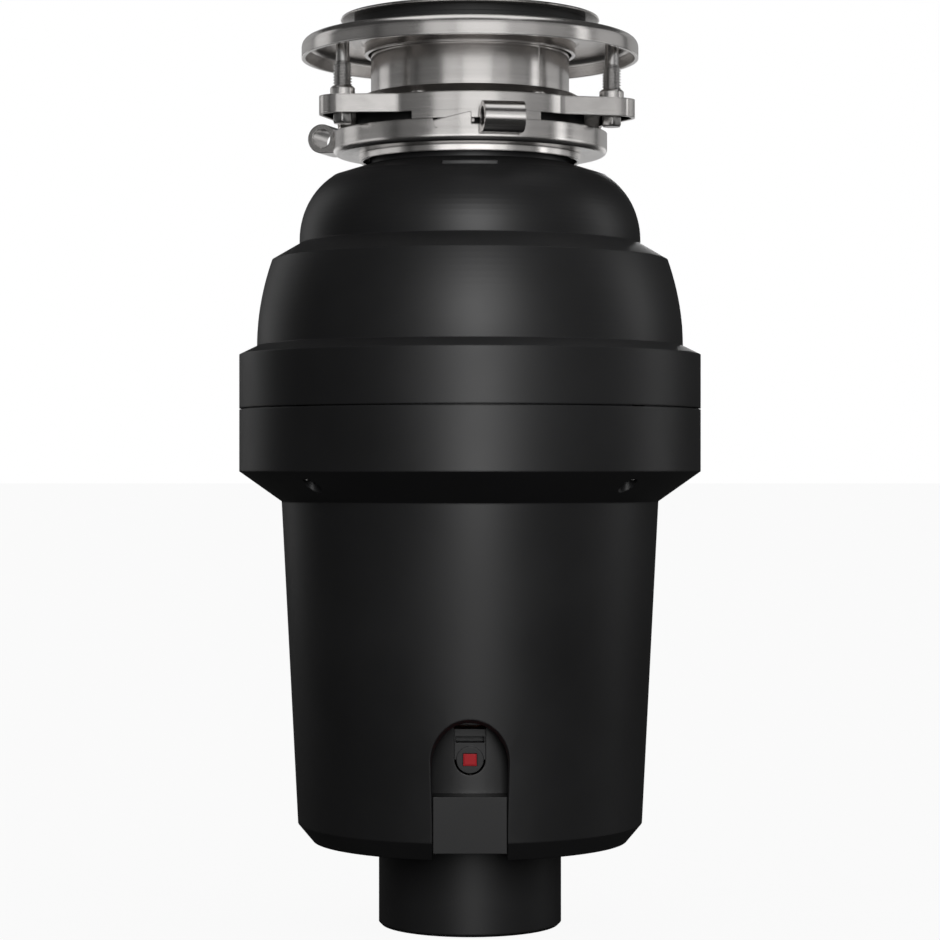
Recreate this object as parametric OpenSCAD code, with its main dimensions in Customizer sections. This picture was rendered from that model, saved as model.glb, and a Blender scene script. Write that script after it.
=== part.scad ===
// Continuous-feed kitchen waste disposer with a three-screw sink mount.
// Origin: centre of the base cup's underside. The front faces -Y and +X is to the right.
// Clock angles run from the front towards +X.

/* [Housing] */
// Diameter of the band, the widest part
body_d = 203.6; // [170:0.2:246]
// Wall of the plastic covers
wall = 2.5; // [1.8:0.1:3.2]
// Height of the band
band_h = 51.3; // [46:0.1:62]
// Width of the ledge from the band to the main dome
ledge_w = 7.8; // [5:0.1:10]
// Height of the main dome
dome_h = 37.9; // [32:0.1:46]
// How far the main dome draws in towards its top
dome_bulge = 6.6; // [3:0.1:9]
// Width of the shoulder from the main dome to the crown
shoulder_w = 12.1; // [9:0.1:14]
// Height of the flare under the band
flare_h = 13.2; // [10:0.1:18]
// Width of the flare under the band
flare_w = 18.6; // [14:0.1:22]
// Height of the tapered lower cover, flare to chamfer
lower_h = 141.4; // [118:0.2:170]
// How far the lower cover tapers in
taper = 7.2; // [3:0.1:9]
// Width of the groove between the two covers
seam_gap = 0.6; // [0.5:0.1:1.6]

/* [Base] */
// Diameter of the base cup
base_d = 80.6; // [67:0.2:97]
// Height of the base cup below the lower cover
base_h = 37.1; // [30:0.1:45]

/* [Front recess] */
// Width of the arched recess at the cover's surface
arch_w = 35.4; // [32:0.2:40]
// Height of the arch's crown above the base
arch_top = 96.2; // [92:0.2:104]
// Height of the reset button above the base
button_z = 78.5; // [77:0.1:80]
// Diameter of the round boss round the reset button
button_boss_d = 11.4; // [10:0.1:12.4]

/* [Motor] */
// Diameter of the motor shaft
shaft_d = 12; // [10:0.1:14.4]
// Outer diameter of the two ball bearings
bearing_d = 32; // [30:0.1:36]
// Height of the two ball bearings
bearing_h = 10; // [8:0.1:12]
// Air gap between rotor and stator
air_gap = 0.6; // [0.5:0.1:1]
// Radial depth of the stator laminations
stator_depth = 25.9; // [18:0.1:28]
// Height of the stator laminations
stator_h = 60; // [50:1:66]
// Space between the motor housing and the lower cover
motor_gap = 12.5; // [11:0.1:15]

/* [Grinding chamber] */
// Wall of the chamber castings
chamber_wall = 3; // [2.5:0.1:4]
// Space for the sound insulation round the chamber
insulation_gap = 18.4; // [15:0.1:22]
// Outer diameter of the discharge elbow
outlet_d = 38; // [32:0.2:40]
// Bend radius of the discharge elbow
bend_r = 24; // [22:0.5:29]
// Outer diameter of the dishwasher spigot
spigot_d = 22; // [18:0.2:26]

/* [Sink mount] */
// Outer diameter of the sink sleeve
sleeve_d = 87.6; // [82:0.2:90]
// Outer diameter of the sink flange
sink_flange_d = 114.3; // [112:0.1:120]
// Diameter of the backup flange
backup_d = 148.8; // [144:0.2:156]
// Radius of the circle through the three clamp screws
screw_circle_r = 67.2; // [66.6:0.1:68.2]
// Thread diameter of the clamp screws
screw_d = 8; // [6.6:0.1:9]
// Outer diameter of the mounting ring
ring_d = 117; // [116:0.2:118]
// Outer radius of the rolled lugs on the lock ring
lug_r = 6.5; // [5.5:0.1:6.6]
// Sheet thickness of the mount's steel stampings
sheet = 1.6; // [1.2:0.1:1.8]

/* [Hidden] */
$fn = 96;
eps = 0.01;
cut = 1;              // extra length of a cutting tool past a face

// radii of the covers
band_r = body_d / 2;
dome_r = band_r - ledge_w;
dome_top_r = dome_r - dome_bulge;
crown_r = dome_top_r - shoulder_w;
cover_top_r = band_r - flare_w;
cover_low_r = cover_top_r - taper;
chamfer_w = 6.6;
foot_r = cover_low_r - chamfer_w;
neck_r = 43.5;
neck_wall = 3.2;
crown_in_r = neck_r + 2.6;
crown_rx = crown_r - crown_in_r;
crown_rz = 32;
crown_edge = 58.4;    // angle on the crown's curve where its sloping top starts
base_r = base_d / 2;

// heights of the covers
chamfer_h = 7.9;
ledge_h = 3.8;
shoulder_h = 7.1;
z_foot = base_h;
z_low = z_foot + chamfer_h;
z_flare = z_low + lower_h;
z_band = z_flare + flare_h;
z_seam = z_band + 27.4;
z_ledge = z_band + band_h;
z_dome = z_ledge + ledge_h;
z_shoulder = z_dome + dome_h;
z_crown = z_shoulder + shoulder_h;
crown_z0 = z_crown + 2;
z_crown_edge = crown_z0 + crown_rz * sin(crown_edge);
crown_edge_r = crown_in_r + crown_rx * cos(crown_edge);
crown_hole_r = neck_r + 2.4;
z_crown_top = z_crown_edge + 5.3;
inset_share = 0.52;   // rise of an inner corner for each millimetre of wall, under a slope
arc_steps = 14;

// motor
motor_r = cover_low_r - wall - motor_gap;
can_wall = 2.5;
can_in_r = motor_r - can_wall;
rotor_r = can_in_r - stator_depth - air_gap;
shaft_r = shaft_d / 2;
bearing_r = bearing_d / 2;
z_floor = z_foot + wall;
z_plate = z_band - 10;           // underside of the upper end frame's plate
plate_t = 6;
z_plate_top = z_plate + plate_t;
z_hub = z_plate - 14;            // underside of the upper bearing hub
z_hub_top = z_plate_top + 10;
winding_h = 15;
z_stator_top = z_plate - 25;
z_stator = z_stator_top - stator_h;
hub_r = bearing_r + 6;
z_lower_frame = z_stator - 42;
frame_t = 4;
z_lower_bearing = z_lower_frame - bearing_h;
slots = 12;
bolt_r = 2;
bolt_circle_r = can_in_r - 5;
running_gap = 0.04;
race_t = 2.6;
ball_gap = 0.35;

// grinding chamber
chamber_r = dome_r - wall - insulation_gap - chamber_wall;
z_joint = z_plate_top + 40;      // top of the discharge chamber
gasket_t = 1.2;
z_hopper = z_joint + gasket_t;
flange_t = 3.6;
flange_w = 10;
chamber_flange_r = chamber_r + chamber_wall + flange_w;
chamber_bolt_r = chamber_flange_r - 4;
outlet_r = outlet_d / 2;
outlet_wall = 2;
outlet_in_r = outlet_r - outlet_wall;
port_r = outlet_r + 1;
z_outlet = z_joint - port_r;
z_chamber_floor = z_outlet - outlet_in_r + 0.4;
outlet_face = band_r + 4;
clamp_pitch = outlet_r + 12;     // half the distance between the two discharge screws
clamp_screw_r = 3;
ring_t = 3;
z_table = z_joint + 2;
table_t = 3;
table_top = z_table + table_t;
table_r = chamber_r - ring_t - 1;
pivot_r = table_r - 22;
pin_r = 4;
impeller_gap = 0.3;
impeller_t = 4;
impeller_reach = 14.5;
washer_t = 2;
hub_nut_h = 7;
z_spigot = z_dome + 13.5;
spigot_clock = 150;
spigot_r = spigot_d / 2;
spigot_wall = 2.5;
spigot_seat = dome_r - 0.5;
z_neck = z_crown_edge + 0.5;

// sink mount, from the lock ring up
z_mount = z_crown_top;
lock_lip_r = neck_r + 3.9;
lock_floor = z_mount + 4.8;      // underside of the lock ring's floor
z_lock_top = z_mount + 14.3;
mount_gap = 0.3;
ring_r = ring_d / 2;
lock_in_r = ring_r + mount_gap;
lock_r = lock_in_r + 1.8;
lug_centre_r = lock_r + lug_r - 0.1;
lug_bore_r = lug_r - 2.4;
lug_len = 17.5;
lug_clock = 11.8;
z_lug = z_lock_top - 0.2;
z_ring = z_mount + 18;           // underside of the mounting ring's wall
ring_wall_h = 7.9;
z_ring_top = z_ring + ring_wall_h;
ear_r = 10.1;
ear_root_r = 51;                 // distance of an ear's straight sides from the axis
ear_fillet = 9;
ear_clocks = [65.7, -54.3, 185.7];
fillet_bite = 0.05;
skirt_from = -25;
skirt_to = 31;
skirt_drop = 6.5;
skirt_joggle = 0.05;
latch_slot_top = z_lock_top + 0.3;
latch_slot_h = 2.6;
sleeve_r = sleeve_d / 2;
sleeve_wall = 1.8;
sleeve_in_r = sleeve_r - sleeve_wall;
z_sleeve = z_mount + 19.4;
z_snap = z_mount + 27.2;
snap_t = 1.8;
collar_r = sleeve_r + 3.4;
z_collar_top = z_snap + snap_t + 0.1 + sheet;
z_rim = z_mount + 64.2;          // underside of the sink flange's rim
gasket_r = 51.1;
upper_gasket_h = 3;
lower_gasket_h = 4.95;
touch_gap = 0.05;                // between pieces of different bodies that press together
z_gasket = z_rim - upper_gasket_h - touch_gap;
z_backup = z_gasket - lower_gasket_h;
backup_r = backup_d / 2;
backup_round = 4;
z_backup_rim = z_backup - 8.8;
screw_r = screw_d / 2;
screw_head_h = 5;
screw_head_r = screw_r + 0.6;
dog_r = 0.66 * screw_r;
z_screw = z_ring - 3.7;
z_thread_top = z_ring + 22.5;
thread_pitch = 1.25;
thread_depth = 0.6;
boss_h = 4.4;
boss_bevel = 0.9;
boss_r = screw_r + 1.3;
z_guard = z_lock_top - 4.9;
z_guard_seat = z_sleeve - 3;

// ---------- shared shapes ----------

// places its children at a clock angle; they are drawn at the front, towards -Y
module clock(angle) { rotate([0, 0, angle]) children(); }

module pipe(r_out, r_in, h) {
    difference() {
        cylinder(r = r_out, h = h);
        translate([0, 0, -cut]) cylinder(r = r_in, h = h + 2 * cut);
    }
}

// a ring's sector of rectangular section, between two clock angles
module ring_arc(r_in, r_out, z_low, z_high, from, to) {
    rotate([0, 0, from - 90]) rotate_extrude(angle = to - from)
        translate([r_in, z_low]) square([r_out - r_in, z_high - z_low]);
}

// a rod that lies along Y, from y = start and len long
module y_rod(r, start, len) {
    translate([0, start, 0]) rotate([-90, 0, 0]) cylinder(r = r, h = len);
}

// plain screw pointing up: head below z = 0, shank above
module screw_up(head_r, head_h, shank_r, len, drive_r) {
    difference() {
        union() {
            translate([0, 0, -head_h]) cylinder(r = head_r, h = head_h);
            translate([0, 0, -eps]) cylinder(r = shank_r, h = len);
        }
        translate([0, 0, -head_h - cut]) cylinder(r = drive_r, h = head_h * 0.6 + cut, $fn = 6);
    }
}

// ---------- covers ----------

// outer line of the upper cover, moved in by t
function dome_line(t) = [for (i = [0:arc_steps]) let (u = i / arc_steps)
    [dome_r - t - dome_bulge * u * u, z_dome - t * inset_share + dome_h * u]];
function crown_line(t) = [for (i = [0:arc_steps]) let (a = crown_edge * i / arc_steps)
    [crown_in_r + (crown_rx - t) * cos(a), crown_z0 + (crown_rz - t) * sin(a)]];
function upper_line(t) = concat(
    [[band_r - t, z_seam + seam_gap / 2], [band_r - t, z_ledge - t * inset_share]],
    dome_line(t),
    [[crown_r - t, z_crown - t * inset_share]],
    crown_line(t),
    [[crown_edge_r - 0.6 - t * 0.3, z_crown_edge + 0.5 - t], [crown_hole_r, z_crown_top - t]]);

// outer line of the lower cover, moved in by t
function lower_line(t) = [
    [band_r - t, z_seam - seam_gap / 2],
    [band_r - t, z_band + t * inset_share],
    [cover_top_r - t, z_flare + t * inset_share],
    [cover_low_r - t, z_low],
    [foot_r - t * 0.8, z_foot + t]];
function backwards(list) = [for (i = [len(list) - 1:-1:0]) list[i]];

screw_clocks = [-135, -45, 45, 135];
cover_screw_inset = 8.6;
cover_screw_r = band_r - cover_screw_inset;
cover_boss_r = cover_screw_inset - wall + 0.5;
boss_short = 6.5;
pilot_r = 1.7;

// passage of the discharge port through both covers
port_gap = 1.5;
module port_opening() {
    translate([0, 0, z_outlet]) {
        y_rod(port_r + port_gap, chamber_r, band_r - chamber_r + 2 * cut);
        for (side = [-1, 1]) translate([side * clamp_pitch, 0, 0])
            y_rod(8 + port_gap, chamber_r, band_r - chamber_r + 2 * cut);
        translate([-clamp_pitch, chamber_r, -8 - port_gap])
            cube([2 * clamp_pitch, band_r - chamber_r + 2 * cut, 2 * (8 + port_gap)]);
    }
}

// raised key on the front of the crown's sloping top, with a short slit behind it
crown_key_w = 23.5;
crown_key_h = 1.6;
module crown_key() {
    intersection() {
        translate([0, 0, z_crown_edge - 1]) cylinder(r = crown_edge_r - 0.1, h = crown_key_h + 1);
        translate([-crown_key_w / 2, -crown_edge_r, z_crown_edge - 2]) cube([crown_key_w, 12, 8]);
    }
}

module upper_cover() {
    slit_w = 7.2;
    color([0.05, 0.05, 0.055]) difference() {
        union() {
            crown_key();
            rotate_extrude() polygon(concat(upper_line(0), backwards(upper_line(wall))));
            for (a = screw_clocks) clock(a) translate([0, -cover_screw_r, z_seam + seam_gap / 2])
                cylinder(r = cover_boss_r, h = z_ledge - z_seam - boss_short);
        }
        for (a = screw_clocks) clock(a) translate([0, -cover_screw_r, z_seam - cut])
            cylinder(r = pilot_r, h = 16);
        translate([2.3, -crown_edge_r + 5, z_crown_edge + crown_key_h + 0.2])
            cube([slit_w, 1, 3]);
        clock(spigot_clock) translate([0, 0, z_spigot]) rotate([90, 0, 0])
            translate([0, 0, crown_r]) cylinder(r = spigot_r + 0.5, h = band_r);
        port_opening();
    }
}

arch_bevel = 1.9;
arch_in_r = arch_w / 2 - arch_bevel;
z_arch = arch_top - arch_w / 2;
arch_front = cover_low_r + taper * (z_arch - z_low) / lower_h;

// tool that cuts the arched recess, opening out towards the front
module arch_tool() {
    bevel_t = arch_front - wall - 0.6;
    translate([0, -bevel_t, z_arch]) rotate([90, 0, 0])
        cylinder(r1 = arch_in_r, r2 = arch_in_r + 8 * arch_bevel / 3, h = 8);
    translate([0, -motor_r - 3, z_arch]) rotate([90, 0, 0])
        cylinder(r = arch_in_r, h = 20);
    translate([-arch_in_r, -motor_r - 24, z_foot - cut])
        cube([2 * arch_in_r, motor_r + 24 - base_r - 1.5, wall + chamfer_h]);
    translate([-arch_in_r, -motor_r - 24, z_foot]) cube([2 * arch_in_r, 22, z_arch - z_foot]);
    translate([0, -bevel_t, z_foot - cut]) linear_extrude(z_arch - z_foot + cut) polygon([
        [-arch_in_r, 0], [arch_in_r, 0],
        [arch_in_r + 8 * arch_bevel / 3, -8], [-arch_in_r - 8 * arch_bevel / 3, -8]]);
}

tongue_h = 5;
screw_recess_r = 3.9;
module lower_cover() {
    tongue_r = band_r - wall - 0.1;
    color([0.05, 0.05, 0.055]) difference() {
        union() {
            rotate_extrude() polygon(concat(lower_line(0), [[base_r + 0.3, z_foot],
                [base_r + 0.3, z_floor]], backwards(lower_line(wall))));
            translate([0, 0, z_seam - tongue_h]) pipe(tongue_r, tongue_r - 1.6, 2 * tongue_h - 1);
            intersection() {
                for (a = screw_clocks) clock(a) translate([0, -cover_screw_r, z_flare])
                    cylinder(r = screw_recess_r + 1.8, h = z_seam - seam_gap / 2 - z_flare);
                rotate_extrude() polygon(concat([[0, z_flare]], backwards(lower_line(0)),
                    [[0, z_seam]]));
            }
        }
        for (a = screw_clocks) clock(a) translate([0, -cover_screw_r, z_flare - cut]) {
            cylinder(r = screw_recess_r, h = flare_h - 1.2 + cut);
            cylinder(r = pilot_r + 0.3, h = 60);
        }
        for (a = screw_clocks) clock(a) translate([0, -cover_screw_r, z_seam])
            cylinder(r = cover_boss_r + 0.3, h = 2 * tongue_h);
        for (a = screw_clocks) clock(a) translate([0, -base_screw_circle, z_foot - cut])
            cylinder(r = pilot_r + 0.2, h = wall + 2 * cut);
        arch_tool();
        translate([0, 0, z_inlet]) y_rod(bush_r, motor_r + 2, band_r);
        port_opening();
    }
}

module cover_screws() {
    color("silver") for (a = screw_clocks) clock(a)
        translate([0, -cover_screw_r, z_flare + flare_h - 1.2])
            screw_up(3.4, 2.4, pilot_r, z_seam + 14 - z_band, 1.2);
}

// ---------- base ----------

base_flange_r = base_r + 8;
base_screw_circle = base_r + 4.2;
module base_cup() {
    edge = 1.2;
    color([0.05, 0.05, 0.055]) difference() {
        rotate_extrude() polygon(concat(
            [[0, 0], [base_r - edge, 0], [base_r, edge], [base_r, z_floor]],
            [[base_flange_r, z_floor], [base_flange_r, z_floor + wall]],
            [[base_r - wall, z_floor + wall], [base_r - wall, wall], [0, wall]]));
        for (a = screw_clocks) clock(a) translate([0, -base_screw_circle, z_floor - cut])
            cylinder(r = pilot_r, h = wall + 2 * cut);
    }
}

module base_screws() {
    color("silver") for (a = screw_clocks) clock(a)
        translate([0, -base_screw_circle, z_foot]) screw_up(3.2, 2, pilot_r, 6, 1.1);
}

// ---------- motor ----------

protector_w = 13.4;
z_slot = button_z + 8.4;
z_block_top = z_arch - 14.3;
z_inlet = z_foot + 25;
bush_r = 6.5;

boss_gap = 0.9;
protector_depth = 13.2;
protector_top = z_slot + 4.5;

// The round boss round the button, grown by gap: it goes in behind the can's face and out before it.
module button_boss(gap, behind, before) {
    translate([0, -motor_r + behind, button_z]) rotate([90, 0, 0])
        cylinder(r = button_boss_d / 2 + gap, h = behind + before);
}

// What the overload protector takes up inside the can, grown by gap.
module protector_room(gap) {
    low = button_z - button_boss_d / 2 - gap;
    translate([-protector_w / 2 - gap, -motor_r, low])
        cube([protector_w + 2 * gap, protector_depth + gap, protector_top + gap - low]);
}

module motor_housing() {
    color([0.09, 0.09, 0.095]) difference() {
        translate([0, 0, z_floor]) pipe(motor_r, can_in_r, z_plate - z_floor);
        translate([-protector_w / 2, -motor_r - cut, button_z])
            cube([protector_w, 12, protector_top + 1.5 - button_z]);
        button_boss(boss_gap, 12, 2);
        translate([0, 0, z_inlet]) y_rod(bush_r, can_in_r - 2, 10);
        translate([0, 0, z_block_top - 12]) rotate([90, 0, 0])
            cylinder(r = 4, h = motor_r + cut);
    }
}

module end_bolt_holes(z, h) {
    for (a = [30:60:330]) clock(a) translate([0, -bolt_circle_r, z]) cylinder(r = bolt_r, h = h);
}

module lower_end_frame() {
    color("gainsboro") difference() {
        union() {
            translate([0, 0, z_lower_frame]) cylinder(r = can_in_r, h = frame_t);
            translate([0, 0, z_lower_bearing - 2]) cylinder(r = bearing_r + 4, h = bearing_h + 4);
            for (a = [30:60:330]) rotate([0, 0, a]) translate([bearing_r, -1.5, z_lower_bearing])
                cube([can_in_r - bearing_r - 4, 3, bearing_h]);
        }
        translate([0, 0, z_lower_bearing]) cylinder(r = bearing_r, h = bearing_h + 20);
        translate([0, 0, z_lower_bearing - 2 - cut]) cylinder(r = shaft_r + 2, h = 30);
        end_bolt_holes(z_lower_bearing, 20);
        protector_room(1);
    }
}

module upper_end_frame() {
    color("gainsboro") difference() {
        union() {
            translate([0, 0, z_plate]) cylinder(r = chamber_r + chamber_wall, h = plate_t);
            translate([0, 0, z_plate - 6]) pipe(can_in_r, can_in_r - 3, 6);
            translate([0, 0, z_hub]) cylinder(r = hub_r, h = z_hub_top - z_hub);
            for (a = [0:60:300]) rotate([0, 0, a]) translate([hub_r - 2, -1.5, z_plate - 6])
                cube([can_in_r - hub_r, 3, 6 + eps]);
        }
        translate([0, 0, z_hub - cut]) cylinder(r = bearing_r, h = bearing_h + cut);
        translate([0, 0, z_hub - cut]) cylinder(r = shaft_r + 2, h = 60);
        translate([0, 0, z_hub_top - 7]) cylinder(r = seal_r, h = 7 + cut);
        end_bolt_holes(z_hub, 40);
    }
}

module through_bolts() {
    color("silver") for (a = [30:60:330]) clock(a)
        translate([0, -bolt_circle_r, z_lower_frame])
            screw_up(bolt_r + 1.4, 2.6, bolt_r, z_plate + 4 - z_lower_frame, 1.3);
}

module stator_core() {
    slot_w = 7;
    color("slategray") difference() {
        translate([0, 0, z_stator]) pipe(can_in_r, rotor_r + air_gap, stator_h);
        for (i = [0:slots - 1]) rotate([0, 0, i * 360 / slots])
            translate([rotor_r + air_gap + 3, -slot_w / 2, z_stator - cut])
                cube([stator_depth - 14, slot_w, stator_h + 2 * cut]);
        for (i = [0:slots - 1]) rotate([0, 0, i * 360 / slots])
            translate([rotor_r, -1, z_stator - cut]) cube([6, 2, stator_h + 2 * cut]);
        end_bolt_holes(z_stator - cut, stator_h + 2 * cut);
    }
}

module stator_windings() {
    bar_w = 6.6;
    coil_in = rotor_r + air_gap + 3.2;
    coil_w = stator_depth - 14.4;
    color("peru") {
        for (i = [0:slots - 1]) rotate([0, 0, i * 360 / slots])
            translate([coil_in, -bar_w / 2, z_stator - 1]) cube([coil_w, bar_w, stator_h + 2]);
        for (end = [0, 1]) translate([0, 0, end == 0 ? z_stator - winding_h : z_stator_top + 0.4])
            rotate_extrude() {
                translate([coil_in, 0]) square([coil_w, winding_h - 0.4]);
                for (side = [0, 1]) translate([coil_in + coil_w * side, winding_h / 2 - 0.2])
                    circle(r = 2.6);
            }
    }
}

// shielded outer race with its balls; the inner race turns with the shaft
module ball_bearing(z) {
    shield_t = 0.6;
    inner_r = shaft_r + race_t;
    outer_r = bearing_r - race_t;
    ball_r = (outer_r - inner_r) / 2 - ball_gap / 2;
    color("silver") translate([0, 0, z]) {
        pipe(bearing_r, outer_r, bearing_h);
        for (end = [0, bearing_h - shield_t]) translate([0, 0, end])
            pipe(outer_r, inner_r + ball_gap, shield_t);
        for (i = [0:8]) rotate([0, 0, i * 40])
            translate([(outer_r + inner_r) / 2, 0, bearing_h / 2]) sphere(r = ball_r);
    }
}

module lower_bearing() { ball_bearing(z_lower_bearing); }
module upper_bearing() { ball_bearing(z_hub); }

module bearing_inner_rings() {
    color("silver") for (z = [z_lower_bearing, z_hub]) translate([0, 0, z])
        pipe(shaft_r + race_t, shaft_r, bearing_h);
}

seal_r = 13;
module shaft_seal() {
    color([0.1, 0.1, 0.1]) translate([0, 0, z_hub_top - 7]) difference() {
        pipe(seal_r, shaft_r + running_gap, 7);
        translate([0, 0, 2]) pipe(seal_r - 2, shaft_r + 2, 6);
    }
}

module motor_insulation() {
    top_z = z_plate - 8;
    low_z = arch_top + 4;
    low_r = cover_low_r + taper * (low_z - z_low) / lower_h - wall - 1;
    color("dimgray") rotate_extrude() polygon([
        [motor_r, low_z], [low_r, low_z],
        [cover_top_r - wall - 1.2, top_z], [motor_r, top_z]]);
}

module upper_insulation() {
    low_z = z_hopper + flange_t + 6;
    foam_gap = 2;
    color("dimgray") difference() {
        rotate_extrude() polygon(concat(
            [[chamber_r + neck_wall, low_z], [dome_r - wall - foam_gap, low_z],
                [dome_r - wall - foam_gap, z_dome]],
            [[dome_top_r - wall - foam_gap, z_shoulder - 4],
                [chamber_r + neck_wall, z_shoulder - 9.4]]));
        clock(spigot_clock) translate([0, 0, z_spigot]) rotate([90, 0, 0])
            cylinder(r = spigot_r + 4, h = band_r);
    }
}

// shaft: slides into both bearings, carries the rotor and the turntable
module shaft() {
    tip_r = shaft_r - 1;
    color("silver") {
        translate([0, 0, z_lower_bearing]) cylinder(r = shaft_r, h = table_top - z_lower_bearing);
        translate([0, 0, table_top - eps])
            cylinder(r = tip_r, h = washer_t + hub_nut_h + 2 + eps);
    }
}

module rotor_core() {
    color("gray") difference() {
        union() {
            translate([0, 0, z_stator]) cylinder(r = rotor_r, h = stator_h);
            translate([0, 0, z_stator - 4]) cylinder(r = rotor_r - 1.5, h = stator_h + 8);
        }
        translate([0, 0, z_stator - 4 - cut]) cylinder(r = shaft_r, h = stator_h + 8 + 2 * cut);
    }
}

// ---------- front recess ----------

block_front = motor_r + 13;
block_w = arch_w - 2 * arch_bevel - 0.9;
module terminal_block() {
    color([0.06, 0.06, 0.065]) difference() {
        translate([-block_w / 2, -block_front, z_floor + 1])
            cube([block_w, 20, z_block_top - z_floor - 1]);
        cylinder(r = motor_r, h = z_block_top + cut);
    }
}

plate_front = motor_r + 0.8;
module overload_protector() {
    w = protector_w - 0.2;
    slot_h = 2.6;
    color([0.07, 0.07, 0.075]) difference() {
        union() {
            translate([-w / 2, -plate_front, button_z])
                cube([w, plate_front - motor_r + protector_depth, protector_top - button_z]);
            button_boss(0, 10, 1.6);
        }
        translate([-w / 2 + 0.6, -plate_front - cut, z_slot - slot_h / 2])
            cube([w - 1.2, 9, slot_h]);
        translate([-button_w / 2 - button_gap, -plate_front - 5, button_z - button_h / 2 - button_gap])
            cube([button_w + 2 * button_gap, 14, button_h + 2 * button_gap]);
    }
}

button_w = 5.6;
button_h = 5;
button_gap = 0.15;
button_travel = 2;
module reset_button() {
    edge = 0.5;
    color([0.65, 0.11, 0.14]) {
        translate([-button_w / 2, -motor_r - 2.6 + edge, button_z - button_h / 2])
            cube([button_w, 7, button_h]);
        translate([-button_w / 2 + edge, -motor_r - 2.6, button_z - button_h / 2 + edge])
            cube([button_w - 2 * edge, 2, button_h - 2 * edge]);
    }
}

module cable_inlet_bush() {
    inlet_r = cover_low_r + taper * (z_inlet - z_low) / lower_h;
    color([0.08, 0.08, 0.08]) translate([0, 0, z_inlet]) difference() {
        union() {
            y_rod(bush_r, motor_r - 1, inlet_r - motor_r + 1.5);
            y_rod(bush_r + 2.5, inlet_r + 0.4, 2.4);
        }
        y_rod(4, motor_r - 3, 30);
    }
}

// ---------- grinding chamber ----------

module bolt_ring(r, z, h) {
    for (a = [30:60:330]) clock(a) translate([0, -chamber_bolt_r, z]) cylinder(r = r, h = h);
}

module discharge_chamber() {
    r_out = chamber_r + chamber_wall;
    lug_t = 14;
    color([0.22, 0.22, 0.23]) difference() {
        union() {
            translate([0, 0, z_plate_top]) cylinder(r = r_out, h = z_joint - z_plate_top);
            translate([0, 0, z_joint - flange_t]) cylinder(r = chamber_flange_r, h = flange_t);
            translate([0, 0, z_outlet]) {
                y_rod(port_r, chamber_r - 2, outlet_face - chamber_r + 2);
                for (side = [-1, 1]) translate([side * clamp_pitch, 0, 0])
                    y_rod(8, outlet_face - lug_t, lug_t);
                translate([-clamp_pitch, outlet_face - lug_t, -8])
                    cube([2 * clamp_pitch, lug_t, 16]);
            }
        }
        translate([0, 0, z_chamber_floor])
            cylinder(r = chamber_r, h = z_joint - z_chamber_floor - flange_t);
        translate([0, 0, z_plate_top]) cylinder(r = chamber_r - ring_t - 1.4, h = 60);
        translate([0, 0, z_outlet]) y_rod(outlet_in_r, chamber_r - 6, band_r);
        translate([0, 0, z_outlet]) for (side = [-1, 1]) translate([side * clamp_pitch, 0, 0])
            y_rod(clamp_screw_r, outlet_face - 12, 20);
        bolt_ring(bolt_r, z_joint - flange_t - cut, 10);
    }
}

module chamber_gasket() {
    color([0.1, 0.1, 0.1]) difference() {
        translate([0, 0, z_joint]) pipe(chamber_flange_r, chamber_r, gasket_t);
        bolt_ring(bolt_r, z_joint - cut, 10);
    }
}

// inner line of the hopper, moved out by t, from its flange up to its neck
hopper_mid_r = crown_r - wall - 12.7;
function hopper_line(t) = [
    [chamber_r + t, z_hopper],
    [chamber_r + t, z_shoulder - 9.4],
    [hopper_mid_r + t, z_crown + 12.5 - t * 0.3],
    [neck_r - neck_wall + min(t, neck_wall), z_neck - 1.5 + t * 0.2],
    [neck_r - neck_wall + min(t, neck_wall), z_guard_seat]];

module hopper() {
    color([0.12, 0.12, 0.125]) difference() {
        union() {
            rotate_extrude() polygon(concat(hopper_line(neck_wall), backwards(hopper_line(0))));
            translate([0, 0, z_hopper]) pipe(chamber_flange_r, chamber_r, flange_t);
            clock(spigot_clock) translate([0, 0, z_spigot]) rotate([90, 0, 0])
                translate([0, 0, chamber_r + 1])
                    cylinder(r = spigot_r + 3, h = dome_top_r - wall - 1.5 - chamber_r - 1);
        }
        translate([0, 0, retainer_z]) pipe(neck_r + cut, neck_r - groove_d, retainer_t);
        clock(spigot_clock) translate([0, 0, z_spigot]) rotate([90, 0, 0])
            translate([0, 0, chamber_r - 4]) cylinder(r = spigot_r, h = band_r);
        bolt_ring(bolt_r, z_hopper - cut, 10);
    }
}

module chamber_bolts() {
    color("silver") for (a = [30:60:330]) clock(a)
        translate([0, -chamber_bolt_r, z_joint - flange_t])
            screw_up(bolt_r + 1.5, 2.6, bolt_r, 2 * flange_t + gasket_t + 2, 1.3);
}

module shredder_ring() {
    notches = 24;
    color("silver") difference() {
        translate([0, 0, z_joint]) pipe(chamber_r, chamber_r - ring_t, 30);
        for (i = [0:notches - 1]) rotate([0, 0, i * 360 / notches])
            translate([chamber_r - ring_t - cut, -2.5, z_joint + 3])
                cube([cut + ring_t * 0.6, 5, 12]);
    }
}

module link_plate(r_mid, r_end, reach, t) {
    rotate([-90, 0, 0]) {
        cylinder(r = r_mid, h = t);
        for (side = [-1, 1]) translate([side * reach, 0, 0]) cylinder(r = r_end, h = t);
        translate([-reach, -r_end, 0]) cube([2 * reach, 2 * r_end, t]);
    }
}

discharge_gasket_t = 2;
elbow_flange_t = 3;
clamp_plate_t = 2;
elbow_start = outlet_face + discharge_gasket_t;
elbow_drop = 44;
module discharge_gasket() {
    color([0.1, 0.1, 0.1]) translate([0, outlet_face, z_outlet]) rotate([-90, 0, 0])
        pipe(outlet_r + 3, outlet_in_r, discharge_gasket_t);
}

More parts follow.
